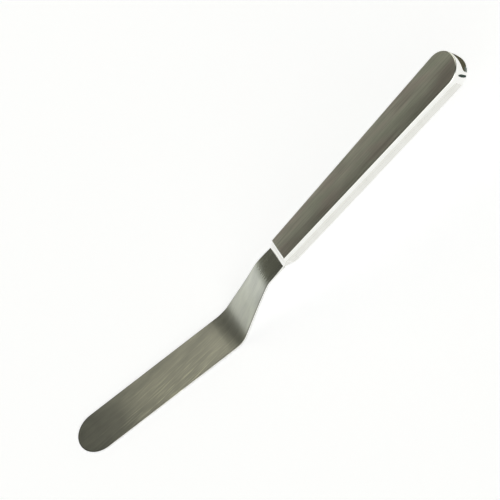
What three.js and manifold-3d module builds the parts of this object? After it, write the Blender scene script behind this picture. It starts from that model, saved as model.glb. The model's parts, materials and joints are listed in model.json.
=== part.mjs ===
// Offset palette knife, all stainless steel: a cranked blade whose tang is cemented
// into a hollow handle made of two pressed shells behind a cast bolster.
//
// Millimetres, +Z up. The blade's flat underside lies on z = 0 with the tip towards
// -X, and everything is symmetric about y = 0. The origin is half way from the tip to
// the heel, on the underside. The handle pieces are built in the handle's own frame:
// x along the handle, z square to its flat face, and its origin on the upper surface
// of the neck, at the foot of the bolster's sloped shoulder.

import * as THREE from 'three';
import { mergeVertices } from 'three/addons/utils/BufferGeometryUtils.js';
import Module from 'manifold-3d';

const wasm = await Module();
wasm.setup();

const degrees = THREE.MathUtils.degToRad;
const { lerp } = THREE.MathUtils;

// Gap between pieces that are welded, pressed or cemented together.
const SEAM = 0.3;

// Spare length given to a cutting form, past the piece that it cuts.
const SPARE = 3;

// Blade flat
const BLADE_LENGTH = 88.4; // tip to the corner of the heel bend
const BLADE_WIDTH = 20;
const TIP_ROUND = 11.1; // length of the half-elliptical tip
const TIP_THICKNESS = 0.8;

// Crank and neck
const STRIP_THICKNESS = 1.4; // heel, crank, neck and tang
const CRANK_ANGLE = degrees(37.4); // crank to blade
const CRANK_LENGTH = 33.9; // heel corner to upper corner
const HEEL_RADIUS = 12; // on the upper surface
const UPPER_RADIUS = 10; // on the upper surface
const UPPER_WIDTH = 13; // strip width at the upper bend
const WAIST = 1.7; // how far the crank's taper is drawn in from a straight one
const NECK_LENGTH = 11.1; // upper corner to the foot of the shoulder
const NECK_SWELL = 0.8; // how far the neck swells between its ends
const NECK_WIDTH = 12.3; // at the foot of the shoulder

// Tang
const TANG_WIDTH = 7;
const TANG_LENGTH = 66; // from the foot of the shoulder
const TANG_HOLE_RADIUS = 1.7;
const TANG_HOLES = 2;
const TANG_HOLE_MARGIN = 8; // last hole's centre to the end of the tang
const TANG_HOLE_PITCH = 22;

// Handle
const HANDLE_ANGLE = degrees(17.6); // handle axis to blade
const HANDLE_LENGTH = 122; // top face, front edge to butt
const HANDLE_THICKNESS = 9.35;
const HANDLE_FRONT_WIDTH = 12.6;
const HANDLE_BUTT_WIDTH = 17.7; // where the round butt begins
const BUTT_ROUND = 9; // length of the half-elliptical butt
const TOP_EDGE = 0.5; // rounding between the flat face and the sides
const BOTTOM_EDGE = 1.3; // rounding along the underside
const WALL = 1; // shell thickness

// Bolster
const SHOULDER_RUN = 3.3; // length of the sloped shoulder along the handle
const SHOULDER_RISE = 3.25; // neck surface up to the handle's flat face
const CHIN_LENGTH = 7; // how far the bolster reaches back along the underside
const THROAT_PLACE = 0.4; // where the chin's curve meets the nose's
const THROAT_DEPTH = 3.1; // neck surface down to the throat
const NOSE_LENGTH = 9.5; // reach of the run-out under the neck
const NOSE_LIP = 0.25; // thickness of the run-out at its front
const SPIGOT_LENGTH = 9; // length gripped by the upper shell

// Places worked out from the sizes above
const heelX = BLADE_LENGTH / 2;
const tipX = -BLADE_LENGTH / 2;
const handleTop = SHOULDER_RISE;
const handleBottom = SHOULDER_RISE - HANDLE_THICKNESS;
const seamHeight = (handleTop + handleBottom) / 2;
const topShellFront = SHOULDER_RUN + SEAM;
const bottomShellFront = CHIN_LENGTH + SEAM;
const handleEnd = SHOULDER_RUN + HANDLE_LENGTH;
const stripUnderside = -STRIP_THICKNESS;
const spigotEnd = SHOULDER_RUN + SPIGOT_LENGTH;
const along = (angle) => new THREE.Vector2(Math.cos(angle), Math.sin(angle));
const heelCorner = new THREE.Vector2(heelX, STRIP_THICKNESS);
const upperCorner = heelCorner.clone().addScaledVector(along(CRANK_ANGLE), CRANK_LENGTH);
const neckEnd = upperCorner.clone().addScaledVector(along(HANDLE_ANGLE), NECK_LENGTH);

// --- Solids ---------------------------------------------------------------------

/** A manifold solid from a closed three.js geometry. */
function solid(geometry) {
  const bare = geometry.index ? geometry.toNonIndexed() : geometry.clone();
  bare.deleteAttribute('normal');
  bare.deleteAttribute('uv');
  const samePlace = 1e-4;
  const merged = mergeVertices(bare, samePlace);
  return new wasm.Manifold(new wasm.Mesh({
    numProp: 3,
    vertProperties: new Float32Array(merged.attributes.position.array),
    triVerts: new Uint32Array(merged.index.array),
  }));
}

/** The three.js geometry of a manifold solid. */
function geometryOf(manifold) {
  const mesh = manifold.getMesh();
  const geometry = new THREE.BufferGeometry();
  geometry.setAttribute('position', new THREE.BufferAttribute(mesh.vertProperties, 3));
  geometry.setIndex(new THREE.BufferAttribute(mesh.triVerts, 1));
  geometry.computeVertexNormals();
  return geometry;
}

/** A side outline (x, z) carried across the whole width, centred on y = 0. */
function acrossWidth(outline, width) {
  const geometry = new THREE.ExtrudeGeometry(outline, { depth: width, bevelEnabled: false });
  geometry.translate(0, 0, -width / 2);
  geometry.rotateX(Math.PI / 2);
  return solid(geometry);
}

/** A plan outline (x, y) carried from one height to another. */
function throughHeight(outline, low, high) {
  const geometry = new THREE.ExtrudeGeometry(outline, { depth: high - low, bevelEnabled: false });
  geometry.translate(0, 0, low);
  return solid(geometry);
}

/** A box between two corners. */
function block(low, high) {
  const size = high.map((value, axis) => value - low[axis]);
  const geometry = new THREE.BoxGeometry(...size);
  geometry.translate(...low.map((value, axis) => value + size[axis] / 2));
  return solid(geometry);
}

/** A round bar square to the handle's face, between two heights. */
function upright(x, radius, low, high) {
  const sides = 24;
  const geometry = new THREE.CylinderGeometry(radius, radius, high - low, sides);
  geometry.rotateX(Math.PI / 2);
  geometry.translate(x, 0, (low + high) / 2);
  return solid(geometry);
}

/** Puts a solid built in the handle's frame into the knife's frame. */
function fromHandleFrame(manifold) {
  const turn = new THREE.Matrix4().makeRotationY(-HANDLE_ANGLE);
  turn.setPosition(neckEnd.x, 0, neckEnd.y);
  return manifold.transform(turn.elements);
}

// --- Blade ----------------------------------------------------------------------

/** Continues a path to a corner between two directions, rounded to a radius. */
function bendAt(path, corner, angleIn, angleOut, radius) {
  const turn = angleOut - angleIn;
  const reach = radius * Math.tan(Math.abs(turn) / 2);
  const start = corner.clone().addScaledVector(along(angleIn), -reach);
  const side = Math.sign(turn) * Math.PI / 2;
  const centre = start.clone().addScaledVector(along(angleIn + side), radius);
  path.lineTo(start.x, start.y);
  path.absarc(centre.x, centre.y, radius, angleIn - side, angleOut - side, turn < 0);
}

/** The strip's upper surface seen from the side, from tip to the end of the tang. */
function stripSurface() {
  const tangEnd = neckEnd.clone().addScaledVector(along(HANDLE_ANGLE), TANG_LENGTH);
  const path = new THREE.Path();
  path.moveTo(tipX, STRIP_THICKNESS);
  bendAt(path, heelCorner, 0, CRANK_ANGLE, HEEL_RADIUS);
  bendAt(path, upperCorner, CRANK_ANGLE, HANDLE_ANGLE, UPPER_RADIUS);
  path.lineTo(tangEnd.x, tangEnd.y);
  return path;
}

/** The strip's side outline: its upper surface, and the underside one thickness below. */
function stripOutline() {
  const stepsPerBend = 12;
  const shortest = 1e-6;
  const curves = stripSurface().curves.filter((curve) => curve.getLength() > shortest);
  const upper = [];
  const lower = [];
  const addStation = (curve, share) => {
    const point = curve.getPoint(share);
    const tangent = curve.getTangent(share);
    upper.push(point);
    lower.push(new THREE.Vector2(
      point.x + STRIP_THICKNESS * tangent.y,
      point.y - STRIP_THICKNESS * tangent.x,
    ));
  };
  addStation(curves[0], 0);
  for (const curve of curves) {
    const steps = curve.isLineCurve ? 1 : stepsPerBend;
    for (let step = 1; step <= steps; step += 1) {
      addStation(curve, step / steps);
    }
  }
  upper[0].y = TIP_THICKNESS;
  return new THREE.Shape([...lower, ...upper.reverse()]);
}

/** One side of the strip from above (x, y), from the heel to the foot of the shoulder. */
function stripSide() {
  const stepsPerSide = 12;
  const shoulder = neckEnd.clone().addScaledVector(along(HANDLE_ANGLE), -SEAM);
  const halves = [BLADE_WIDTH, UPPER_WIDTH, NECK_WIDTH].map((width) => width / 2);
  const [halfBlade, halfUpper, halfNeck] = halves;
  const side = new THREE.Path();
  side.moveTo(heelX, halfBlade);
  side.bezierCurveTo(
    lerp(heelX, upperCorner.x, 1 / 3), lerp(halfBlade, halfUpper, 1 / 3),
    lerp(heelX, upperCorner.x, 2 / 3), lerp(halfBlade, halfUpper, 2 / 3) - WAIST / 2,
    upperCorner.x, halfUpper,
  );
  side.quadraticCurveTo(
    lerp(upperCorner.x, shoulder.x, 1 / 2), lerp(halfUpper, halfNeck, 1 / 2) + NECK_SWELL / 2,
    shoulder.x, halfNeck,
  );
  return side.getPoints(stepsPerSide);
}

/** Outline of the strip from above: round tip, flat, tapered crank, neck and tang. */
function stripPlan() {
  const side = stripSide();
  const shoulderX = side.at(-1).x;
  const pastTheEnd = neckEnd.x + TANG_LENGTH * Math.cos(HANDLE_ANGLE) + SPARE;
  const tipCentre = tipX + TIP_ROUND;
  const plan = new THREE.Shape();
  plan.absellipse(tipCentre, 0, TIP_ROUND, BLADE_WIDTH / 2, Math.PI / 2, 1.5 * Math.PI, false);
  for (const point of side) {
    plan.lineTo(point.x, -point.y);
  }
  plan.lineTo(shoulderX, -TANG_WIDTH / 2);
  plan.lineTo(pastTheEnd, -TANG_WIDTH / 2);
  plan.lineTo(pastTheEnd, TANG_WIDTH / 2);
  plan.lineTo(shoulderX, TANG_WIDTH / 2);
  for (const point of side.reverse()) {
    plan.lineTo(point.x, point.y);
  }
  return plan;
}

/** Distances of the tang's keying holes from the foot of the shoulder. */
function tangHolePlaces() {
  const last = TANG_LENGTH - TANG_HOLE_MARGIN;
  return Array.from({ length: TANG_HOLES }, (_, index) => last - index * TANG_HOLE_PITCH);
}

function blade() {
  const top = neckEnd.y + TANG_LENGTH * Math.sin(HANDLE_ANGLE) + SPARE;
  let strip = acrossWidth(stripOutline(), BLADE_WIDTH + SPARE)
    .intersect(throughHeight(stripPlan(), -SPARE, top));
  for (const x of tangHolePlaces()) {
    const drill = upright(x, TANG_HOLE_RADIUS, stripUnderside - SPARE, SPARE);
    strip = strip.subtract(fromHandleFrame(drill));
  }
  return strip;
}

// --- Handle ---------------------------------------------------------------------

/** Half the handle's width at a distance along it. */
function halfWidth(x) {
  const buttStart = handleEnd - BUTT_ROUND;
  const share = (x - SHOULDER_RUN) / (buttStart - SHOULDER_RUN);
  return lerp(HANDLE_FRONT_WIDTH, HANDLE_BUTT_WIDTH, share) / 2;
}

/** The handle's outline from above, from a front edge to the butt, drawn in by an inset. */
function handlePlan(front, inset) {
  const buttStart = handleEnd - BUTT_ROUND;
  const halfFront = halfWidth(front) - inset;
  const halfButt = halfWidth(buttStart) - inset;
  const plan = new THREE.Shape();
  plan.moveTo(front, halfFront);
  plan.lineTo(front, -halfFront);
  plan.lineTo(buttStart, -halfButt);
  plan.absellipse(buttStart, 0, BUTT_ROUND - inset, halfButt, -Math.PI / 2, Math.PI / 2, false);
  return plan;
}

/** A plan outline as thick as the handle, with its upper and lower edges rounded. */
function roundedForm(plan, edge) {
  const stepsPerEdge = 4;
  const stepsPerButt = 20;
  const geometry = new THREE.ExtrudeGeometry(plan, {
    depth: HANDLE_THICKNESS - 2 * edge,
    bevelThickness: edge,
    bevelSize: edge,
    bevelOffset: -edge,
    bevelSegments: stepsPerEdge,
    curveSegments: stepsPerButt,
  });
  geometry.translate(0, 0, handleBottom + edge);
  return solid(geometry);
}

/** A solid core of the handle, drawn in from its outer form by an inset. */
function handleCore(front, inset) {
  return throughHeight(handlePlan(front, inset), handleBottom + inset, handleTop - inset);
}

/** Everything between two heights of the handle. */
function slab(low, high) {
  const reach = handleEnd + HANDLE_BUTT_WIDTH;
  return block([-reach, -HANDLE_BUTT_WIDTH, low], [reach, HANDLE_BUTT_WIDTH, high]);
}

function handleTopShell() {
  return roundedForm(handlePlan(topShellFront, 0), TOP_EDGE)
    .subtract(handleCore(0, WALL))
    .intersect(slab(seamHeight + SEAM / 2, handleTop + SPARE));
}

function handleBottomShell() {
  const squareFront = block(
    [bottomShellFront, -HANDLE_BUTT_WIDTH, handleBottom - SPARE],
    [handleEnd + SPARE, HANDLE_BUTT_WIDTH, seamHeight - SEAM / 2],
  );
  return roundedForm(handlePlan(0, 0), BOTTOM_EDGE)
    .subtract(handleCore(0, WALL))
    .intersect(squareFront);
}

/** The room a tang needs, one seam clear of it all round. */
function tangRoom(front) {
  const half = TANG_WIDTH / 2 + SEAM;
  return block([front, -half, stripUnderside - SEAM], [TANG_LENGTH + SEAM, half, SEAM]);
}

/** Cement that fills the shells behind the spigot, with posts through the tang's holes. */
function handleFilling() {
  let filling = handleCore(spigotEnd + SEAM, WALL + SEAM).subtract(tangRoom(0));
  for (const x of tangHolePlaces()) {
    const post = upright(x, TANG_HOLE_RADIUS - SEAM, stripUnderside - 2 * SEAM, 2 * SEAM);
    filling = filling.add(post);
  }
  return filling;
}

// --- Bolster --------------------------------------------------------------------

/** The bolster's side outline: sloped shoulder above, nose, throat and chin below. */
function bolsterOutline() {
  const noseTop = stripUnderside - SEAM;
  const noseLow = noseTop - NOSE_LIP;
  const flatUntil = -NOSE_LENGTH / 2;
  const steepFrom = -NOSE_LENGTH / 8;
  const chinTop = seamHeight - SEAM / 2;
  const chinDepth = -handleBottom - THROAT_DEPTH;
  const outline = new THREE.Shape();
  outline.moveTo(0, 0);
  outline.lineTo(0, noseTop);
  outline.lineTo(-NOSE_LENGTH, noseTop);
  outline.lineTo(-NOSE_LENGTH, noseLow);
  outline.bezierCurveTo(
    flatUntil, noseLow,
    steepFrom, noseLow,
    THROAT_PLACE, -THROAT_DEPTH,
  );
  outline.quadraticCurveTo(
    THROAT_PLACE + chinDepth, handleBottom,
    CHIN_LENGTH, handleBottom,
  );
  outline.lineTo(CHIN_LENGTH, chinTop);
  outline.lineTo(SHOULDER_RUN, chinTop);
  outline.lineTo(SHOULDER_RUN, handleTop);
  return outline;
}

/** The bolster's outline from above, carried past both of its ends. */
function bolsterPlan() {
  const back = CHIN_LENGTH + SPARE;
  const front = -NOSE_LENGTH - SPARE;
  const plan = new THREE.Shape();
  plan.moveTo(back, halfWidth(back));
  plan.lineTo(SHOULDER_RUN, halfWidth(SHOULDER_RUN));
  plan.lineTo(0, NECK_WIDTH / 2);
  plan.lineTo(front, NECK_WIDTH / 2);
  plan.lineTo(front, -NECK_WIDTH / 2);
  plan.lineTo(0, -NECK_WIDTH / 2);
  plan.lineTo(SHOULDER_RUN, -halfWidth(SHOULDER_RUN));
  plan.lineTo(back, -halfWidth(back));
  return plan;
}

function bolster() {
  const spigot = handleCore(SHOULDER_RUN - SEAM, WALL + SEAM)
    .intersect(block(
      [0, -HANDLE_BUTT_WIDTH, handleBottom],
      [spigotEnd, HANDLE_BUTT_WIDTH, handleTop],
    ));
  const square = throughHeight(bolsterPlan(), seamHeight, handleTop + SPARE);
  return roundedForm(bolsterPlan(), BOTTOM_EDGE)
    .add(square)
    .intersect(acrossWidth(bolsterOutline(), 2 * HANDLE_FRONT_WIDTH))
    .add(spigot)
    .subtract(tangRoom(-SEAM));
}

// --- Assembly -------------------------------------------------------------------

const satinSteel = { color: 0x9c9b92, metalness: 1, roughness: 0.38 };
const polishedSteel = { color: 0xc4c4be, metalness: 1, roughness: 0.08 };
const cement = { color: 0x8d8578, metalness: 0, roughness: 0.9 };

function piece(name, manifold, look) {
  const mesh = new THREE.Mesh(geometryOf(manifold), new THREE.MeshStandardMaterial(look));
  mesh.name = name;
  return mesh;
}

const handle = new THREE.Group();
handle.position.set(neckEnd.x, 0, neckEnd.y);
handle.rotation.y = -HANDLE_ANGLE;
handle.add(
  piece('bolster', bolster(), polishedSteel),
  piece('handle_top_shell', handleTopShell(), satinSteel),
  piece('handle_bottom_shell', handleBottomShell(), polishedSteel),
  piece('handle_filling', handleFilling(), cement),
);

const knife = new THREE.Group();
knife.add(piece('blade', blade(), satinSteel), handle);

export default knife;
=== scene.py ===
"""Looks of the offset palette knife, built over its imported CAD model.

Metres throughout, in the model's own frame: the blade's underside on z = 0, the tip
towards -X, the handle rising towards +X, and everything symmetric about y = 0.
"""
import json
import math

import bmesh
import bpy
from mathutils import Euler, Matrix, Vector


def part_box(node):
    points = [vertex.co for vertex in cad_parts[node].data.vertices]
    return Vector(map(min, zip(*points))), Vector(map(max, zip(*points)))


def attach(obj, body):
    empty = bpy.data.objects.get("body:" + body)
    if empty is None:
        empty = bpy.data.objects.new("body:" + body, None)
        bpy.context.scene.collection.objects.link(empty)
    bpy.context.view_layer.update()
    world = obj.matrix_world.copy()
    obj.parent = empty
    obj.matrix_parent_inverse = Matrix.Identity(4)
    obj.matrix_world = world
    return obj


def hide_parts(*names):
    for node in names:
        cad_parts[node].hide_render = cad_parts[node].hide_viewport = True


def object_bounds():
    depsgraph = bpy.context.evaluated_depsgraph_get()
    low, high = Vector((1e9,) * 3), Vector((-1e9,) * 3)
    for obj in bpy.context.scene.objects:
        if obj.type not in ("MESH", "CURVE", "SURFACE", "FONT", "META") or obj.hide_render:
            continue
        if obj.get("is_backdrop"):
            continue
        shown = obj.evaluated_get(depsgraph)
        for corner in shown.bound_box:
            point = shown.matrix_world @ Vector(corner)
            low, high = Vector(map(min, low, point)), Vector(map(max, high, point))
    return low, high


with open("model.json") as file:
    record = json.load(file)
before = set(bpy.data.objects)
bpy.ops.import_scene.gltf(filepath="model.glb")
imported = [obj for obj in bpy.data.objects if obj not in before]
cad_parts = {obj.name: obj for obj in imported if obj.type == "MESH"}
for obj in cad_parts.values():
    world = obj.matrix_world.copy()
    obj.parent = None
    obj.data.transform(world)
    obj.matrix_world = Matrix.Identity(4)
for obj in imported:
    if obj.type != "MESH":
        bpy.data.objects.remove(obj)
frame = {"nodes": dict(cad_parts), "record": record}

cad_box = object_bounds()
MM = 0.001

# ---------------------------------------------------------------- sizes of the knife

TIP_ROUND = 11.1 * MM  # length of the half-elliptical tip
TIP_THICKNESS = 0.8 * MM
STRIP_THICKNESS = 1.4 * MM
STRIP_EDGE = 0.3 * MM  # rounding along the strip's edges
STRIP_CROWN = 0.15 * MM  # how far the crank's and neck's edges lie below their middle
TIP_BOW = math.radians(4)  # how far the springy tip droops, in its shading only
CRANK_ANGLE = math.radians(37.4)
CRANK_LENGTH = 33.9 * MM  # heel corner to upper corner
HEEL_RADIUS = 12 * MM
UPPER_RADIUS = 10 * MM
UPPER_HALF_WIDTH = 6.5 * MM
WAIST = 0.85 * MM  # how far each side of the crank's taper is drawn in
NECK_LENGTH = 11.1 * MM  # upper corner to the foot of the shoulder
NECK_SWELL = 0.4 * MM  # how far each side of the neck swells between its ends
NECK_HALF_WIDTH = 6.15 * MM
TANG_HALF_WIDTH = 3.5 * MM
TANG_LENGTH = 66 * MM
TANG_HOLE_PLACES = (36 * MM, 58 * MM)  # from the foot of the shoulder
TANG_HOLE_RADIUS = 1.7 * MM

# The handle's heights are measured from the neck's upper surface.
HANDLE_END = 125.3 * MM  # foot of the shoulder to the butt
HANDLE_TOP = 3.25 * MM
HANDLE_BOTTOM = -6.1 * MM
HANDLE_CROWN = 0.25 * MM  # how far the face's edges lie below its middle
ROLLED_SHARE = 0.6  # share of the crown that lies close to the edges
FRONT_HALF_WIDTH = 6.3 * MM
BUTT_HALF_WIDTH = 8.85 * MM
BUTT_ROUND = 9 * MM  # length of the half-elliptical butt
TOP_EDGE = 0.65 * MM
BOTTOM_EDGE = 1.3 * MM
WALL = 1 * MM
HAIRLINE = 0.02 * MM  # what is left of a seam that is welded and polished

SHOULDER_RUN = 3.3 * MM
GROOVE_PLACE = 2 * MM  # fine groove across the shoulder
GROOVE_HALF_WIDTH = 0.08 * MM
GROOVE_DEPTH = 0.1 * MM
CHIN_LENGTH = 7 * MM  # where the bolster's underside meets the bottom shell
THROAT_PLACE = 0.4 * MM  # the hollow between the nose and the chin
THROAT_DEPTH = 3.1 * MM
NOSE_LENGTH = 9.5 * MM  # the bolster's run-out under the neck
NOSE_LIP = 0.25 * MM

# ------------------------------------------------------------- places from the frame

blade_low, blade_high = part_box("blade")
TIP_X = blade_low.x
HEEL_X = -TIP_X
BLADE_HALF_WIDTH = blade_high.y
back = next(m for m in frame["record"]["mounts"] if m["name"] == "handle_back")
HANDLE_ANGLE = math.asin(back["axis"][0])
SEAM_HEIGHT = (HANDLE_TOP + HANDLE_BOTTOM) / 2
BUTT_START = HANDLE_END - BUTT_ROUND


def along(angle):
    """The unit vector in the knife's plane of symmetry that rises at an angle."""
    return Vector((math.cos(angle), 0, math.sin(angle)))


HEEL_CORNER = Vector((HEEL_X, 0, STRIP_THICKNESS))
UPPER_CORNER = HEEL_CORNER + CRANK_LENGTH * along(CRANK_ANGLE)
NECK_END = UPPER_CORNER + NECK_LENGTH * along(HANDLE_ANGLE)


def handle_point(x, y, z):
    """A point of the handle's own frame, in the knife's frame."""
    return NECK_END + x * along(HANDLE_ANGLE) + z * along(HANDLE_ANGLE + math.pi / 2) + Vector((0, y, 0))


# ------------------------------------------------------------------- mesh building

ACROSS = 12  # steps across a face
ROUND_STEPS = 16  # steps round a quarter of a round end
EDGE_STEPS = 5  # steps round an edge
RIM = 0.5 * MM  # the narrow band of a face beside its rounded edge
SHARP = math.radians(35)  # two faces that meet at more than this keep a crisp edge


def lerp(a, b, share):
    return a + (b - a) * share


def smooth_step(value, low, high):
    """0 below low, 1 above high, and a smooth step between."""
    share = min(max((value - low) / (high - low), 0), 1)
    return share * share * (3 - 2 * share)


def edge_rings(radius, height, towards, material):
    """Rings from a face's rim round its edge to the side, which lies towards +1 up or -1 down."""
    rings = [(radius + RIM, height, 0)]
    for step in range(EDGE_STEPS + 1):
        turn = math.pi / 2 * step / EDGE_STEPS
        inset = radius * (1 - math.sin(turn))
        rings.append((inset, height + towards * radius * (1 - math.cos(turn)), material if step else 0))
    return rings


def closed_outline(half):
    """All round an outline, from its half between the straight end's corner and the round end."""
    side = half[:-1]
    end_s, end_y = half[0]
    right = [(s, -y) for s, y in side]
    straight_end = [(end_s, end_y * (1 - 2 * k / ACROSS)) for k in range(1, ACROSS)]
    return right + [half[-1]] + side[::-1] + straight_end


def unrolled_rings(half_outline, rings):
    """For each ring, its height and its points (s, y, y as if the side lay flat with the face)."""
    girth = 0
    before = rings[0]
    for inset, height, _ in rings:
        girth += math.hypot(inset - before[0], height - before[1])
        before = (inset, height)
        points = closed_outline(half_outline(inset))
        yield height, [(s, y, y + math.copysign(girth, y)) for s, y in points]


def skin(name, half_outline, rings, place, materials, open_from=None):
    """A closed skin round a long flat form.

    half_outline(inset) gives half of the plan outline, drawn in by an inset, as (s, y).
    rings lists (inset, height, material) from one face round to the other, and
    place(s, y, height) gives the point in the frame. From ring open_from on, the straight
    end is left open and then filled flat.
    """
    bm = bmesh.new()
    grain = bm.loops.layers.uv.new("grain")
    edge = bm.verts.layers.float.new("edge")
    reach = bm.verts.layers.float.new("reach")
    flat = {}

    def vertex(s, y, height, unrolled, at_edge=1):
        made = bm.verts.new(place(s, y, height))
        made[edge] = at_edge
        made[reach] = s
        flat[made] = (s, y, unrolled)
        return made

    def add_face(corners, material, is_side):
        face = bm.faces.new(corners)
        face.material_index = material
        for corner in face.loops:
            s, y, unrolled = flat[corner.vert]
            corner[grain].uv = (s, unrolled if is_side else y)

    loops = [
        [vertex(s, y, height, unrolled, min(number, 1)) for s, y, unrolled in points]
        for number, (height, points) in enumerate(unrolled_rings(half_outline, rings))
    ]
    apex = len(half_outline(0)) - 1
    around = len(loops[0])
    for number, (upper, lower) in enumerate(zip(loops, loops[1:])):
        ends_open = open_from is not None and number >= open_from
        for i in range(2 * apex if ends_open else around):
            j = (i + 1) % around
            add_face([upper[i], upper[j], lower[j], lower[i]], rings[number + 1][2], number > 0)

    for loop, (inset, height, material) in ((loops[0], rings[0]), (loops[-1], rings[-1])):
        rows = [[loop[2 * apex]] + loop[2 * apex + 1:] + [loop[0]]]
        for i, (s, y) in list(enumerate(half_outline(inset)))[1:apex]:
            inner = [vertex(s, y * (1 - 2 * k / ACROSS), height, y, 0) for k in range(1, ACROSS)]
            rows.append([loop[2 * apex - i]] + inner + [loop[i]])
        for row, next_row in zip(rows, rows[1:]):
            for k in range(ACROSS):
                add_face([row[k], row[k + 1], next_row[k + 1], next_row[k]], material, False)
        for k in range(ACROSS):
            add_face([rows[-1][k], rows[-1][k + 1], loop[apex]], material, False)

    border = [edge for edge in bm.edges if edge.is_boundary]
    for face in bmesh.ops.holes_fill(bm, edges=border)["faces"]:
        face.material_index = len(materials) - 1
    return finished(name, bm, materials)


def finished(name, bm, materials):
    """The object made from a bmesh: outward normals, smooth faces and crisp corners."""
    bmesh.ops.recalc_face_normals(bm, faces=bm.faces)
    for face in bm.faces:
        face.smooth = True
    for edge in bm.edges:
        edge.smooth = edge.calc_face_angle(0) < SHARP
    mesh = bpy.data.meshes.new(name)
    bm.to_mesh(mesh)
    bm.free()
    for material in materials:
        mesh.materials.append(material)
    piece = bpy.data.objects.new(name, mesh)
    bpy.context.scene.collection.objects.link(piece)
    return piece


# --------------------------------------------------------------------------- blade

heel_reach = HEEL_RADIUS * math.tan(CRANK_ANGLE / 2)
upper_turn = CRANK_ANGLE - HANDLE_ANGLE
upper_reach = UPPER_RADIUS * math.tan(upper_turn / 2)
FLAT_RUN = HEEL_X - TIP_X - heel_reach
HEEL_RUN = HEEL_RADIUS * CRANK_ANGLE
CRANK_RUN = CRANK_LENGTH - heel_reach - upper_reach
UPPER_RUN = UPPER_RADIUS * upper_turn
NECK_RUN = NECK_LENGTH - upper_reach
# Each stretch of the strip's upper surface: its length and how far it turns upwards.
STRETCHES = (
    (FLAT_RUN, 0),
    (HEEL_RUN, CRANK_ANGLE),
    (CRANK_RUN, 0),
    (UPPER_RUN, -upper_turn),
    (NECK_RUN + TANG_LENGTH, 0),
)
CRANK_START = FLAT_RUN + HEEL_RUN
UPPER_START = CRANK_START + CRANK_RUN
NECK_START = UPPER_START + UPPER_RUN
SHOULDER_PLACE = NECK_START + NECK_RUN - HAIRLINE
TANG_END = NECK_START + NECK_RUN + TANG_LENGTH
# How far each bend's shading is eased, behind it and ahead: on the centre line, and its growth with y.
HEEL_EASE = ((6.3 * MM, 0.08), (4.3 * MM, 0.18))
UPPER_EASE = ((5 * MM, 0.1), (3 * MM, -0.1))


def strip_surface(s):
    """The point and the slope angle of the strip's upper surface at a distance s from the tip."""
    x, z, angle = TIP_X, STRIP_THICKNESS, 0
    for length, turn in STRETCHES:
        run = min(s, length)
        if turn:
            radius = length / turn
            end = angle + run / radius
            x += radius * (math.sin(end) - math.sin(angle))
            z += radius * (math.cos(angle) - math.cos(end))
            angle = end
        else:
            x += run * math.cos(angle)
            z += run * math.sin(angle)
        s -= run
        if s <= 0:
            break
    return Vector((x, 0, z)), angle


def taper(x):
    """Half the strip's width at a plan place x, before its corners are eased."""
    if x < HEEL_X:
        return BLADE_HALF_WIDTH
    if x < UPPER_CORNER.x:
        share = (x - HEEL_X) / (UPPER_CORNER.x - HEEL_X)
        drawn_in = 3 * share * share * (1 - share) * WAIST
        return lerp(BLADE_HALF_WIDTH, UPPER_HALF_WIDTH, share) - drawn_in
    share = (x - UPPER_CORNER.x) / (NECK_END.x - UPPER_CORNER.x)
    swell = 2 * share * (1 - share) * NECK_SWELL
    return lerp(UPPER_HALF_WIDTH, NECK_HALF_WIDTH, share) + swell


def strip_half_width(s):
    """Half the strip's width at a distance from the tip, with the taper's corners eased."""
    ease = 1 * MM
    x = strip_surface(s)[0].x
    return sum(taper(x + share * ease) for share in (-1, -0.5, 0, 0.5, 1)) / 5


def strip_stations():
    """Distances from the tip where the strip has a row of points, from the tip's round end on."""
    counts = ((FLAT_RUN - TIP_ROUND, 24), (HEEL_RUN, 12), (CRANK_RUN, 20), (UPPER_RUN, 10))
    stations = []
    s = TIP_ROUND
    for length, count in counts:
        stations += [s + length * k / count for k in range(count)]
        s += length
    neck_steps = 8
    return stations + [lerp(NECK_START, SHOULDER_PLACE, k / neck_steps) for k in range(neck_steps)]


def strip_half_outline(inset):
    """The strip's plan laid flat, from the end of the tang to the tip, drawn in by an inset."""
    shoulder = SHOULDER_PLACE - inset
    points = [
        (TANG_END - inset, TANG_HALF_WIDTH - inset),
        (shoulder, TANG_HALF_WIDTH - inset),
        (shoulder, NECK_HALF_WIDTH - inset),
    ]
    points += [(s, strip_half_width(s) - inset) for s in reversed(strip_stations()) if s < shoulder]
    for step in range(1, ROUND_STEPS + 1):
        turn = math.pi / 2 * step / ROUND_STEPS
        s = TIP_ROUND - (TIP_ROUND - inset) * math.sin(turn)
        points.append((s, (BLADE_HALF_WIDTH - inset) * math.cos(turn)))
    points[-1] = (points[-1][0], 0)
    return points


def strip_place(s, y, height):
    """A point of the strip in the frame. Height runs from 0 on top to minus the thickness."""
    surface, angle = strip_surface(s)
    thinner = (STRIP_THICKNESS - TIP_THICKNESS) * (1 - min(s / FLAT_RUN, 1))
    share_up = 1 + height / STRIP_THICKNESS
    crowned = smooth_step(s, FLAT_RUN, CRANK_START) * smooth_step(TANG_END - s, 0, TANG_LENGTH)
    crown = STRIP_CROWN * crowned * (y / strip_half_width(s)) ** 2
    level = height - share_up * (thinner + crown)
    return surface + level * along(angle + math.pi / 2) + Vector((0, y, 0))


def drill_tang(strip):
    """Cuts the tang's keying holes."""
    for place in TANG_HOLE_PLACES:
        bpy.ops.mesh.primitive_cylinder_add(
            vertices=32,
            radius=TANG_HOLE_RADIUS,
            depth=4 * STRIP_THICKNESS,
            location=handle_point(place, 0, -STRIP_THICKNESS / 2),
            rotation=(0, -HANDLE_ANGLE, 0),
        )
        drill = bpy.context.object
        cut = strip.modifiers.new("hole", "BOOLEAN")
        cut.operation = "DIFFERENCE"
        cut.object = drill
        bpy.context.view_layer.objects.active = strip
        bpy.ops.object.modifier_apply(modifier=cut.name)
        bpy.data.objects.remove(drill)


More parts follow.
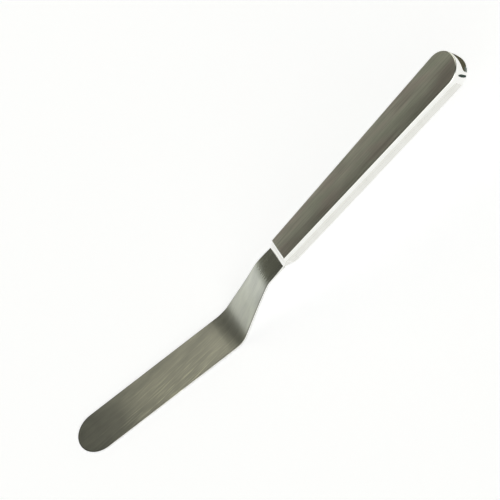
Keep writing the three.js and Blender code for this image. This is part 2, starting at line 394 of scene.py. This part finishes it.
def eased_slope(s, y):
    """The strip's slope averaged over a stretch of it, a little askew at both bends."""
    ease = HEEL_EASE if s < (CRANK_START + UPPER_START) / 2 else UPPER_EASE
    behind, ahead = (on_centre + skew * y for on_centre, skew in ease)
    steps = 10
    places = [s + lerp(-behind, ahead, k / steps) for k in range(steps + 1)]
    return sum(strip_surface(max(place, 0))[1] for place in places) / len(places)


def ease_shading(strip):
    """Shades the strip as one whose bends are worked out softly into the flat beside them."""
    mesh = strip.data
    reach = mesh.attributes["reach"].data
    turns = []
    for vertex in mesh.vertices:
        s = reach[vertex.index].value
        bow = TIP_BOW * (1 - smooth_step(s, 0, FLAT_RUN / 2))
        turns.append(strip_surface(s)[1] - eased_slope(s, vertex.co.y) - bow)
    normals = [
        Matrix.Rotation(turns[corner.vertex_index], 3, "Y") @ normal.vector
        for corner, normal in zip(mesh.loops, mesh.corner_normals)
    ]
    mesh.normals_split_custom_set(normals)


def make_strip(materials):
    """The blade, crank, neck and tang, with satin faces and a polished side."""
    satin, polished = 0, 1
    upper = edge_rings(STRIP_EDGE, 0, -1, satin)
    lower = edge_rings(STRIP_EDGE, -STRIP_THICKNESS, 1, satin)[::-1]
    lower[0] = (*lower[0][:2], polished)
    strip = skin("blade_strip", strip_half_outline, upper + lower, strip_place, materials)
    drill_tang(strip)
    ease_shading(strip)
    return strip


# -------------------------------------------------------------------------- handle


def handle_half_width(x):
    """Half the handle's width at a place x along it, short of its round butt."""
    share = (x - SHOULDER_RUN) / (BUTT_START - SHOULDER_RUN)
    return lerp(FRONT_HALF_WIDTH, BUTT_HALF_WIDTH, share)


def handle_half_outline(inset, front, front_inset):
    """Half the handle's plan, from its front corner to the butt, drawn in by an inset."""
    straight_steps = 40
    start = front + front_inset
    places = [lerp(start, BUTT_START, k / straight_steps) for k in range(straight_steps)]
    points = [(x, handle_half_width(x) - inset) for x in places]
    for step in range(ROUND_STEPS + 1):
        turn = math.pi / 2 * step / ROUND_STEPS
        x = BUTT_START + (BUTT_ROUND - inset) * math.sin(turn)
        points.append((x, (BUTT_HALF_WIDTH - inset) * math.cos(turn)))
    points[-1] = (points[-1][0], 0)
    return points


def handle_place(x, y, height):
    """A point of the handle in the frame, with the face's crown."""
    share_up = max(0, (height - SEAM_HEIGHT) / (HANDLE_TOP - SEAM_HEIGHT))
    across = abs(y) / handle_half_width(x)
    crown = HANDLE_CROWN * lerp(across ** 2, across ** 6, ROLLED_SHARE)
    return handle_point(x, y, height - share_up * crown)


def make_top_shell(materials):
    """The upper shell, with a satin face, polished sides and a hollow inside."""
    front = SHOULDER_RUN + HAIRLINE
    seam = SEAM_HEIGHT + HAIRLINE / 2
    polished = 1
    edge = edge_rings(TOP_EDGE, HANDLE_TOP, -1, polished)
    inside = [(0, seam), (WALL, seam), (WALL, HANDLE_TOP - WALL)]
    rings = edge + [(*ring, polished) for ring in inside]

    def half_outline(inset):
        return handle_half_outline(inset, front, 0 if inset == WALL else inset)

    return skin("top_shell_skin", half_outline, rings, handle_place, materials, open_from=len(edge) - 1)


def make_bottom_shell(materials):
    """The lower shell, polished all over, with a hollow inside."""
    front = CHIN_LENGTH + HAIRLINE
    seam = SEAM_HEIGHT - HAIRLINE / 2
    edge = edge_rings(BOTTOM_EDGE, HANDLE_BOTTOM, 1, 0)
    inside = [(0, seam), (WALL, seam), (WALL, HANDLE_BOTTOM + WALL)]
    rings = edge + [(*ring, 0) for ring in inside]

    def half_outline(inset):
        return handle_half_outline(inset, front, 0)

    return skin("bottom_shell_skin", half_outline, rings, handle_place, materials, open_from=0)


# ------------------------------------------------------------------------- bolster


def bezier(points, t):
    """A point of a Bezier curve with any number of control points."""
    while len(points) > 1:
        points = [(lerp(a[0], b[0], t), lerp(a[1], b[1], t)) for a, b in zip(points, points[1:])]
    return points[0]


def bolster_underside():
    """(x, z) along the bolster's underside: nose run-out, throat and chin."""
    nose_low = -STRIP_THICKNESS - NOSE_LIP
    throat = (THROAT_PLACE, -THROAT_DEPTH)
    corner = (THROAT_PLACE + THROAT_DEPTH, HANDLE_BOTTOM)
    nose = [(-NOSE_LENGTH, nose_low), (-NOSE_LENGTH / 2, nose_low), (-NOSE_LENGTH / 8, nose_low), throat]
    chin = [throat, corner, (CHIN_LENGTH, HANDLE_BOTTOM)]
    steps = 14
    curve = [bezier(nose, k / steps) for k in range(steps)]
    return curve + [bezier(chin, k / steps) for k in range(steps + 1)]


def bolster_half_width(x):
    if x < SHOULDER_RUN:
        return lerp(NECK_HALF_WIDTH, FRONT_HALF_WIDTH, max(0, x) / SHOULDER_RUN)
    return handle_half_width(x)


def bolster_sections():
    """(x, top, bottom) of each section from nose to chin, with steps at the shoulder's foot and crest."""
    underside = bolster_underside()
    under_strip = -STRIP_THICKNESS - HAIRLINE
    seam = SEAM_HEIGHT - HAIRLINE / 2
    shoulder_top = HANDLE_TOP - HANDLE_CROWN - TOP_EDGE

    def bottom_at(x):
        for (x0, z0), (x1, z1) in zip(underside, underside[1:]):
            if x0 <= x <= x1:
                return lerp(z0, z1, (x - x0) / (x1 - x0))

    under_foot, under_crest = bottom_at(0), bottom_at(SHOULDER_RUN)
    sections = [(x, under_strip, z) for x, z in underside if x < 0]
    sections += [(0, under_strip, under_foot), (0, 0, under_foot)]
    groove = [GROOVE_PLACE + side * GROOVE_HALF_WIDTH for side in (-1, 0, 1)]
    for x in sorted([x for x, _ in underside if 0 < x < SHOULDER_RUN] + groove):
        cut = GROOVE_DEPTH if x == GROOVE_PLACE else 0
        sections.append((x, shoulder_top * x / SHOULDER_RUN - cut, bottom_at(x)))
    sections += [(SHOULDER_RUN, shoulder_top, under_crest), (SHOULDER_RUN, seam, under_crest)]
    return sections + [(x, seam, z) for x, z in underside if x > SHOULDER_RUN]


def section_loop(half_width, top, bottom, top_edge, bottom_edge):
    """(y, z) round a section with rounded corners, from its top +Y corner by way of its top -Y one."""
    most = 0.49 * (top - bottom)  # just under half the height, so that two corners never meet
    corners = ((1, 1, top_edge), (-1, 1, top_edge), (-1, -1, bottom_edge), (1, -1, bottom_edge))
    loop = []
    for side, up, edge in corners:
        radius = min(edge, most)
        centre_y = side * (half_width - radius)
        centre_z = (top - radius) if up > 0 else (bottom + radius)
        for step in range(EDGE_STEPS + 1):
            turn = math.pi / 2 * step / EDGE_STEPS
            if side == up:
                turn = math.pi / 2 - turn
            loop.append((centre_y + side * radius * math.sin(turn), centre_z + up * radius * math.cos(turn)))
    return loop


def make_bolster(materials):
    """The bolster, from one rounded section to the next, with a dull groove across its shoulder."""
    bm = bmesh.new()
    grain = bm.loops.layers.uv.new("grain")
    loops = []
    polished, dull = 0, 1
    for x, top, bottom in bolster_sections():
        top_edge = TOP_EDGE if top > 0 else HAIRLINE
        loop = section_loop(bolster_half_width(x), top, bottom, top_edge, BOTTOM_EDGE)
        in_groove = GROOVE_PLACE <= x <= GROOVE_PLACE + GROOVE_HALF_WIDTH
        loops.append(([bm.verts.new(handle_point(x, y, z)) for y, z in loop], in_groove))
    around = len(loops[0][0])
    upper_points = 2 * (EDGE_STEPS + 1)
    for (front, _), (behind, in_groove) in zip(loops, loops[1:]):
        for i in range(around):
            j = (i + 1) % around
            face = bm.faces.new([front[i], front[j], behind[j], behind[i]])
            face.material_index = dull if in_groove and i < upper_points - 1 else polished
            for corner in face.loops:
                corner[grain].uv = corner.vert.co.xy
    bm.faces.new(loops[0][0])
    bm.faces.new(loops[-1][0])
    return finished("bolster_casting", bm, materials)


# ----------------------------------------------------------------------- materials


class Nodes:
    """Short names for adding and joining nodes of a node tree."""

    def __init__(self, owner):
        owner.use_nodes = True
        self.tree = owner.node_tree
        self.tree.nodes.clear()

    def add(self, kind, **settings):
        node = self.tree.nodes.new(kind)
        for name, value in settings.items():
            setattr(node, name, value)
        return node

    def join(self, output, socket):
        self.tree.links.new(output, socket)

    def ramp(self, source, *stops):
        """A colour ramp of (place, grey or colour) stops, read at a source."""
        node = self.add("ShaderNodeValToRGB")
        elements = node.color_ramp.elements
        while len(elements) < len(stops):
            elements.new(0.5)
        for element, (place, colour) in zip(elements, stops):
            element.position = place
            element.color = (*colour, 1) if isinstance(colour, tuple) else (colour, colour, colour, 1)
        self.join(source, node.inputs["Fac"])
        return node.outputs["Color"]

    def math(self, operation, a, b):
        node = self.add("ShaderNodeMath", operation=operation)
        for socket, value in zip(node.inputs, (a, b)):
            if isinstance(value, (int, float)):
                socket.default_value = value
            else:
                self.join(value, socket)
        return node.outputs[0]

    def mix(self, blend, first, *others):
        """A colour with others blended into it in full, one after another."""
        for other in others:
            node = self.add("ShaderNodeMix", data_type="RGBA", blend_type=blend)
            sockets = {socket.identifier: socket for socket in node.inputs}
            sockets["Factor_Float"].default_value = 1
            self.join(first, sockets["A_Color"])
            self.join(other, sockets["B_Color"])
            first = next(s for s in node.outputs if s.identifier == "Result_Color")
        return first

    def across(self, uv, half_width):
        """The share of the width, from 0 on the -Y edge to 1 on the +Y edge."""
        axes = self.add("ShaderNodeSeparateXYZ")
        self.join(uv, axes.inputs[0])
        return self.math("ADD", self.math("DIVIDE", axes.outputs["Y"], 2 * half_width), 0.5)

    def wavy(self, coordinates, per_metre, sway):
        """Coordinates whose lines along U wander to and fro by up to half of sway."""
        noise = self.streaks(coordinates, per_metre, detail=1, seed=20)
        offset = self.add("ShaderNodeCombineXYZ")
        self.join(self.math("MULTIPLY", noise, sway), offset.inputs["Y"])
        moved = self.add("ShaderNodeVectorMath", operation="ADD")
        self.join(coordinates, moved.inputs[0])
        self.join(offset.outputs[0], moved.inputs[1])
        return moved.outputs[0]

    def streaks(self, coordinates, per_metre, turn=0, detail=2, seed=0):
        """Noise drawn out along U: per_metre is how many features lie along and across."""
        turned = self.add("ShaderNodeMapping")
        turned.inputs["Rotation"].default_value[2] = turn
        self.join(coordinates, turned.inputs["Vector"])
        scaled = self.add("ShaderNodeMapping")
        scaled.inputs["Scale"].default_value = (*per_metre, 1)
        scaled.inputs["Location"].default_value[2] = seed
        self.join(turned.outputs[0], scaled.inputs["Vector"])
        noise = self.add("ShaderNodeTexNoise", noise_dimensions="3D")
        noise.inputs["Scale"].default_value = 1
        noise.inputs["Detail"].default_value = detail
        self.join(scaled.outputs[0], noise.inputs["Vector"])
        return noise.outputs["Fac"]

    def bump(self, height, distance):
        node = self.add("ShaderNodeBump")
        node.inputs["Distance"].default_value = distance
        node.inputs["Strength"].default_value = 1
        self.join(height, node.inputs["Height"])
        return node.outputs["Normal"]

    def output(self, kind, shader):
        """The tree's output node, of the kind for a material or a world, fed by a shader."""
        self.join(shader.outputs[0], self.add(kind).inputs["Surface"])


def metal(nodes, colour, roughness, anisotropic, normal):
    """The metal shader, with its brush marks along U where it is anisotropic."""
    shader = nodes.add("ShaderNodeBsdfPrincipled")
    shader.inputs["Metallic"].default_value = 1
    nodes.join(colour, shader.inputs["Base Color"])
    nodes.join(roughness, shader.inputs["Roughness"])
    nodes.join(normal, shader.inputs["Normal"])
    if anisotropic:
        shader.inputs["Anisotropic"].default_value = anisotropic
        shader.inputs["Anisotropic Rotation"].default_value = 0.25
        tangent = nodes.add("ShaderNodeTangent", direction_type="UV_MAP", uv_map="grain")
        nodes.join(tangent.outputs[0], shader.inputs["Tangent"])
    nodes.output("ShaderNodeOutputMaterial", shader)


def blade_steel():
    """Satin strip: hairlines, bright wandering streaks on the blade that are partly a painted highlight,
    painted shade and light along the strip, and painted shade on its edges.
    """
    material = bpy.data.materials.new("satin_blade_steel")
    nodes = Nodes(material)
    uv = nodes.add("ShaderNodeUVMap", uv_map="grain").outputs[0]
    reach = nodes.add("ShaderNodeAttribute", attribute_name="reach").outputs["Fac"]
    edge = nodes.add("ShaderNodeAttribute", attribute_name="edge").outputs["Fac"]
    place = nodes.math("DIVIDE", reach, TANG_END)
    wandering = nodes.wavy(uv, (13, 28), 9 * MM)
    askew = math.radians(-6)
    hairs = nodes.streaks(wandering, (110, 3600), askew, 3)
    marks = nodes.streaks(wandering, (75, 1500), askew, 3, seed=4)
    cloud = nodes.streaks(wandering, (70, 170), askew, 2, seed=9)
    # Painted shade and light along the strip: darker towards the tip, lighter along the crank and the upper
    # bend.
    painted_shade_along_strip = nodes.ramp(
        place,
        (10 * MM / TANG_END, (0.41, 0.41, 0.37)),
        (42 * MM / TANG_END, (0.56, 0.55, 0.48)),
        (80 * MM / TANG_END, (0.62, 0.61, 0.54)),
        (104 * MM / TANG_END, (0.64, 0.65, 0.57)),
        (115 * MM / TANG_END, (0.74, 0.75, 0.68)),
    )
    tone = nodes.mix(
        "MULTIPLY",
        painted_shade_along_strip,
        nodes.ramp(cloud, (0.32, (0.80, 0.80, 0.82)), (0.68, 1.0)),
        nodes.ramp(hairs, (0.3, 0.86), (0.7, 1.0)),
        # Painted shade: the rounded edges and the sides are darkened.
        nodes.ramp(edge, (0.5, 1.0), (1.0, 0.70)),
    )
    # The bright streaks are partly real brush marks and partly a painted highlight: they lie on the blade,
    # short of its tip and its heel, and fade towards the +Y side.
    on_blade = nodes.ramp(
        place,
        (15 * MM / TANG_END, 0.25),
        (35 * MM / TANG_END, 1.0),
        (74 * MM / TANG_END, 1.0),
        (88 * MM / TANG_END, 0.1),
    )
    bright = nodes.mix(
        "MULTIPLY",
        on_blade,
        nodes.ramp(marks, (0.50, 0.0), (0.68, (0.30, 0.30, 0.22))),
        nodes.ramp(nodes.across(uv, BLADE_HALF_WIDTH), (0.2, 1.0), (0.75, 0.3)),
    )
    streaked = nodes.mix("ADD", tone, bright)
    smoother = nodes.ramp(place, (UPPER_START / TANG_END, 0.0), (NECK_START / TANG_END, 0.16))
    rough = nodes.math("SUBTRACT", nodes.ramp(marks, (0.35, 0.32), (0.65, 0.40)), smoother)
    metal(nodes, streaked, rough, 0.6, nodes.bump(hairs, 0.004 * MM))
    return material


def handle_steel():
    """Satin face of the handle: hairlines, faint brown and green stains, and painted shade on the -Y side.
    """
    material = bpy.data.materials.new("satin_handle_steel")
    nodes = Nodes(material)
    uv = nodes.add("ShaderNodeUVMap", uv_map="grain").outputs[0]
    hairs = nodes.streaks(uv, (70, 3600), 0, 3, seed=2)
    marks = nodes.streaks(uv, (35, 1100), 0, 3, seed=5)
    cloud = nodes.streaks(uv, (45, 130), 0, 2, seed=7)
    stain = nodes.streaks(uv, (40, 160), math.radians(6), 2, seed=12)
    green, grey, brown = (0.70, 0.705, 0.60), (0.72, 0.70, 0.61), (0.73, 0.67, 0.60)
    tone = nodes.mix(
        "MULTIPLY",
        nodes.ramp(stain, (0.36, green), (0.50, grey), (0.64, brown)),
        nodes.ramp(hairs, (0.3, 0.84), (0.7, 1.0)),
        nodes.ramp(marks, (0.3, 0.88), (0.7, 1.06)),
        nodes.ramp(cloud, (0.3, 0.84), (0.7, 1.04)),
        # Painted shade: the face is darker towards its -Y side.
        nodes.ramp(nodes.across(uv, BUTT_HALF_WIDTH), (0.22, 0.82), (0.55, 1.16)),
    )
    rough = nodes.ramp(marks, (0.3, 0.42), (0.7, 0.50))
    metal(nodes, tone, rough, 0.5, nodes.bump(hairs, 0.003 * MM))
    return material


def polished_steel():
    """Mirror-polished steel with faint smudges and the soft waviness of hand polishing."""
    material = bpy.data.materials.new("mirror_polished_steel")
    nodes = Nodes(material)
    place = nodes.add("ShaderNodeTexCoord").outputs["Object"]
    smudges = nodes.streaks(place, (130, 130), 0, 3)
    waves = nodes.streaks(place, (70, 110), 0, 1, seed=3)
    colour = nodes.ramp(smudges, (0.35, (0.89, 0.89, 0.86)), (0.65, (0.94, 0.94, 0.92)))
    rough = nodes.ramp(smudges, (0.35, 0.02), (0.7, 0.07))
    metal(nodes, colour, rough, 0, nodes.bump(waves, 0.03 * MM))
    return material


def filling_cement():
    """Rough grey-brown cement with pores, inside the handle."""
    material = bpy.data.materials.new("rough_filling_cement")
    nodes = Nodes(material)
    place = nodes.add("ShaderNodeTexCoord").outputs["Object"]
    grit = nodes.streaks(place, (1500, 1500), 0, 4)
    shader = nodes.add("ShaderNodeBsdfPrincipled")
    colour = nodes.ramp(grit, (0.3, (0.30, 0.27, 0.23)), (0.7, (0.50, 0.46, 0.40)))
    nodes.join(colour, shader.inputs["Base Color"])
    nodes.join(nodes.ramp(grit, (0.3, 0.8), (0.7, 0.95)), shader.inputs["Roughness"])
    nodes.join(nodes.bump(grit, 0.2 * MM), shader.inputs["Normal"])
    nodes.output("ShaderNodeOutputMaterial", shader)
    return material


# --------------------------------------------------------------------------- stage


def make_camera():
    """A long lens, at the photograph's viewing angle."""
    data = bpy.data.cameras.new("camera")
    data.sensor_width = 36
    data.lens = 288
    data.clip_start = 0.05
    camera = bpy.data.objects.new("camera", data)
    camera.location = (0.2295, -1.0214, 1.5001)
    camera.rotation_euler = Euler([math.radians(angle) for angle in (26.826, 23.886, -30.093)])
    bpy.context.scene.collection.objects.link(camera)
    bpy.context.scene.camera = camera


def make_floor():
    """A plain white floor just under the blade, bright enough to keep shadows faint."""
    size = 12
    clearance = 0.05 * MM
    bpy.ops.mesh.primitive_plane_add(size=size, location=(0, 0, -clearance))
    floor = bpy.context.object
    floor.name = "floor"
    material = bpy.data.materials.new("white_floor")
    nodes = Nodes(material)
    shader = nodes.add("ShaderNodeBsdfPrincipled")
    shader.inputs["Base Color"].default_value = (0.8, 0.8, 0.8, 1)
    shader.inputs["Roughness"].default_value = 0.9
    shader.inputs["Specular IOR Level"].default_value = 0
    shader.inputs["Emission Color"].default_value = (0.995, 1, 1.04, 1)
    shader.inputs["Emission Strength"].default_value = 0.60
    nodes.output("ShaderNodeOutputMaterial", shader)
    floor.data.materials.append(material)
    floor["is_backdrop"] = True


def lay_card(name, height, corners, colour):
    """A flat card just over the floor that only reflections see."""
    mesh = bpy.data.meshes.new(name)
    mesh.from_pydata([(x, y, height) for x, y in corners], [], [range(len(corners))])
    material = bpy.data.materials.new(name)
    nodes = Nodes(material)
    glow = nodes.add("ShaderNodeEmission")
    glow.inputs["Color"].default_value = (*colour, 1)
    nodes.output("ShaderNodeOutputMaterial", glow)
    mesh.materials.append(material)
    card = bpy.data.objects.new(name, mesh)
    card.visible_camera = False
    card.visible_diffuse = False
    card.visible_shadow = False
    bpy.context.scene.collection.objects.link(card)
    card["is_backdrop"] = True


def crescent(bearings, radii, widest):
    """Corners of a crescent beyond the butt, from one bearing and radius to another."""
    centre_x, steps = 238 * MM, 24
    outer, inner = [], []
    for step in range(steps + 1):
        share = step / steps
        bearing = math.radians(lerp(*bearings, share))
        half = widest / 2 * math.sqrt(math.sin(math.pi * share))
        for side, reach in ((outer, half), (inner, -half)):
            distance = lerp(*radii, share) + reach
            side.append((centre_x + distance * math.cos(bearing), distance * math.sin(bearing)))
    return outer + inner[::-1]


def make_cards():
    """Dark cards beyond the butt and a grey strip beside the handle, for its sides to mirror."""
    low, high = 0.1 * MM, 0.2 * MM
    # Each crescent: its height, bearings, radii, width and colour.
    crescents = {
        "brown_card": (low, (-38, 104), (44 * MM, 60 * MM), 34 * MM, (0.09, 0.085, 0.055)),
        "blue_card": (high, (-40, 14), (33 * MM, 36 * MM), 16 * MM, (0.16, 0.19, 0.17)),
        "green_card": (low, (-84, -62), (52 * MM, 52 * MM), 46 * MM, (0.05, 0.07, 0.06)),
    }
    for name, (height, bearings, radii, widest, colour) in crescents.items():
        lay_card(name, height, crescent(bearings, radii, widest), colour)
    front_x, front_y, front_half = 74 * MM, -21 * MM, 5 * MM
    butt_x, butt_y, butt_half = 206 * MM, -49 * MM, 13 * MM
    strip = [
        (front_x, front_y - front_half),
        (butt_x, butt_y - butt_half),
        (butt_x, butt_y + butt_half),
        (front_x, front_y + front_half),
    ]
    lay_card("grey_card", low, strip, (0.87, 0.87, 0.84))


def make_world():
    """A white sweep round the horizon, under a dim olive-grey room with soft lamps."""
    world = bpy.data.worlds.new("studio")
    bpy.context.scene.world = world
    nodes = Nodes(world)
    direction = nodes.add("ShaderNodeTexCoord").outputs["Generated"]
    axes = nodes.add("ShaderNodeSeparateXYZ")
    nodes.join(direction, axes.inputs[0])
    light = nodes.ramp(
        axes.outputs["Z"],
        (0.00, (1.00, 1.00, 1.00)),
        (0.20, (0.96, 0.995, 0.95)),
        (0.30, (0.42, 0.43, 0.38)),
        (0.42, (0.16, 0.16, 0.13)),
        (0.70, (0.105, 0.105, 0.085)),
        (1.00, (0.085, 0.085, 0.07)),
    )
    # Each lamp: where it is, and the angles from its middle where it is full and where it has faded.
    lamps = (
        ((0.27, 0.50, 0.83), 14, 31, (1.0, 0.99, 0.84)),
        ((-0.09, -0.81, 0.57), 18, 34, (1.4, 1.4, 1.35)),
    )
    for place, full, faded, colour in lamps:
        towards = nodes.add("ShaderNodeVectorMath", operation="DOT_PRODUCT")
        nodes.join(direction, towards.inputs[0])
        towards.inputs[1].default_value = Vector(place).normalized()
        stops = ((math.cos(math.radians(faded)), 0.0), (math.cos(math.radians(full)), colour))
        light = nodes.mix("ADD", light, nodes.ramp(towards.outputs["Value"], *stops))
    background = nodes.add("ShaderNodeBackground")
    nodes.join(light, background.inputs["Color"])
    background.inputs["Strength"].default_value = 1
    nodes.output("ShaderNodeOutputWorld", background)


# ------------------------------------------------------------------------ assembly


def add_piece(piece, node):
    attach(piece, "root")
    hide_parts(node)


def make_knife():
    """Every visible piece in place of its CAD solid, and a material for the hidden filling."""
    satin_blade, satin_handle, polished = blade_steel(), handle_steel(), polished_steel()
    add_piece(make_strip([satin_blade, polished]), "blade")
    add_piece(make_bolster([polished, satin_handle]), "bolster")
    add_piece(make_top_shell([satin_handle, polished]), "handle_top_shell")
    add_piece(make_bottom_shell([polished]), "handle_bottom_shell")
    filling = frame["nodes"]["handle_filling"]
    cement = filling_cement()
    if not filling.material_slots:
        filling.data.materials.append(cement)
    for filling_slot in filling.material_slots:
        filling_slot.material = cement


bpy.context.scene.view_settings.view_transform = "Standard"
make_camera()
make_world()
make_floor()
make_cards()
make_knife()

boxes = {"cad": cad_box, "visual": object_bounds()}
{name: [list(corner) for corner in box] for name, box in boxes.items()}
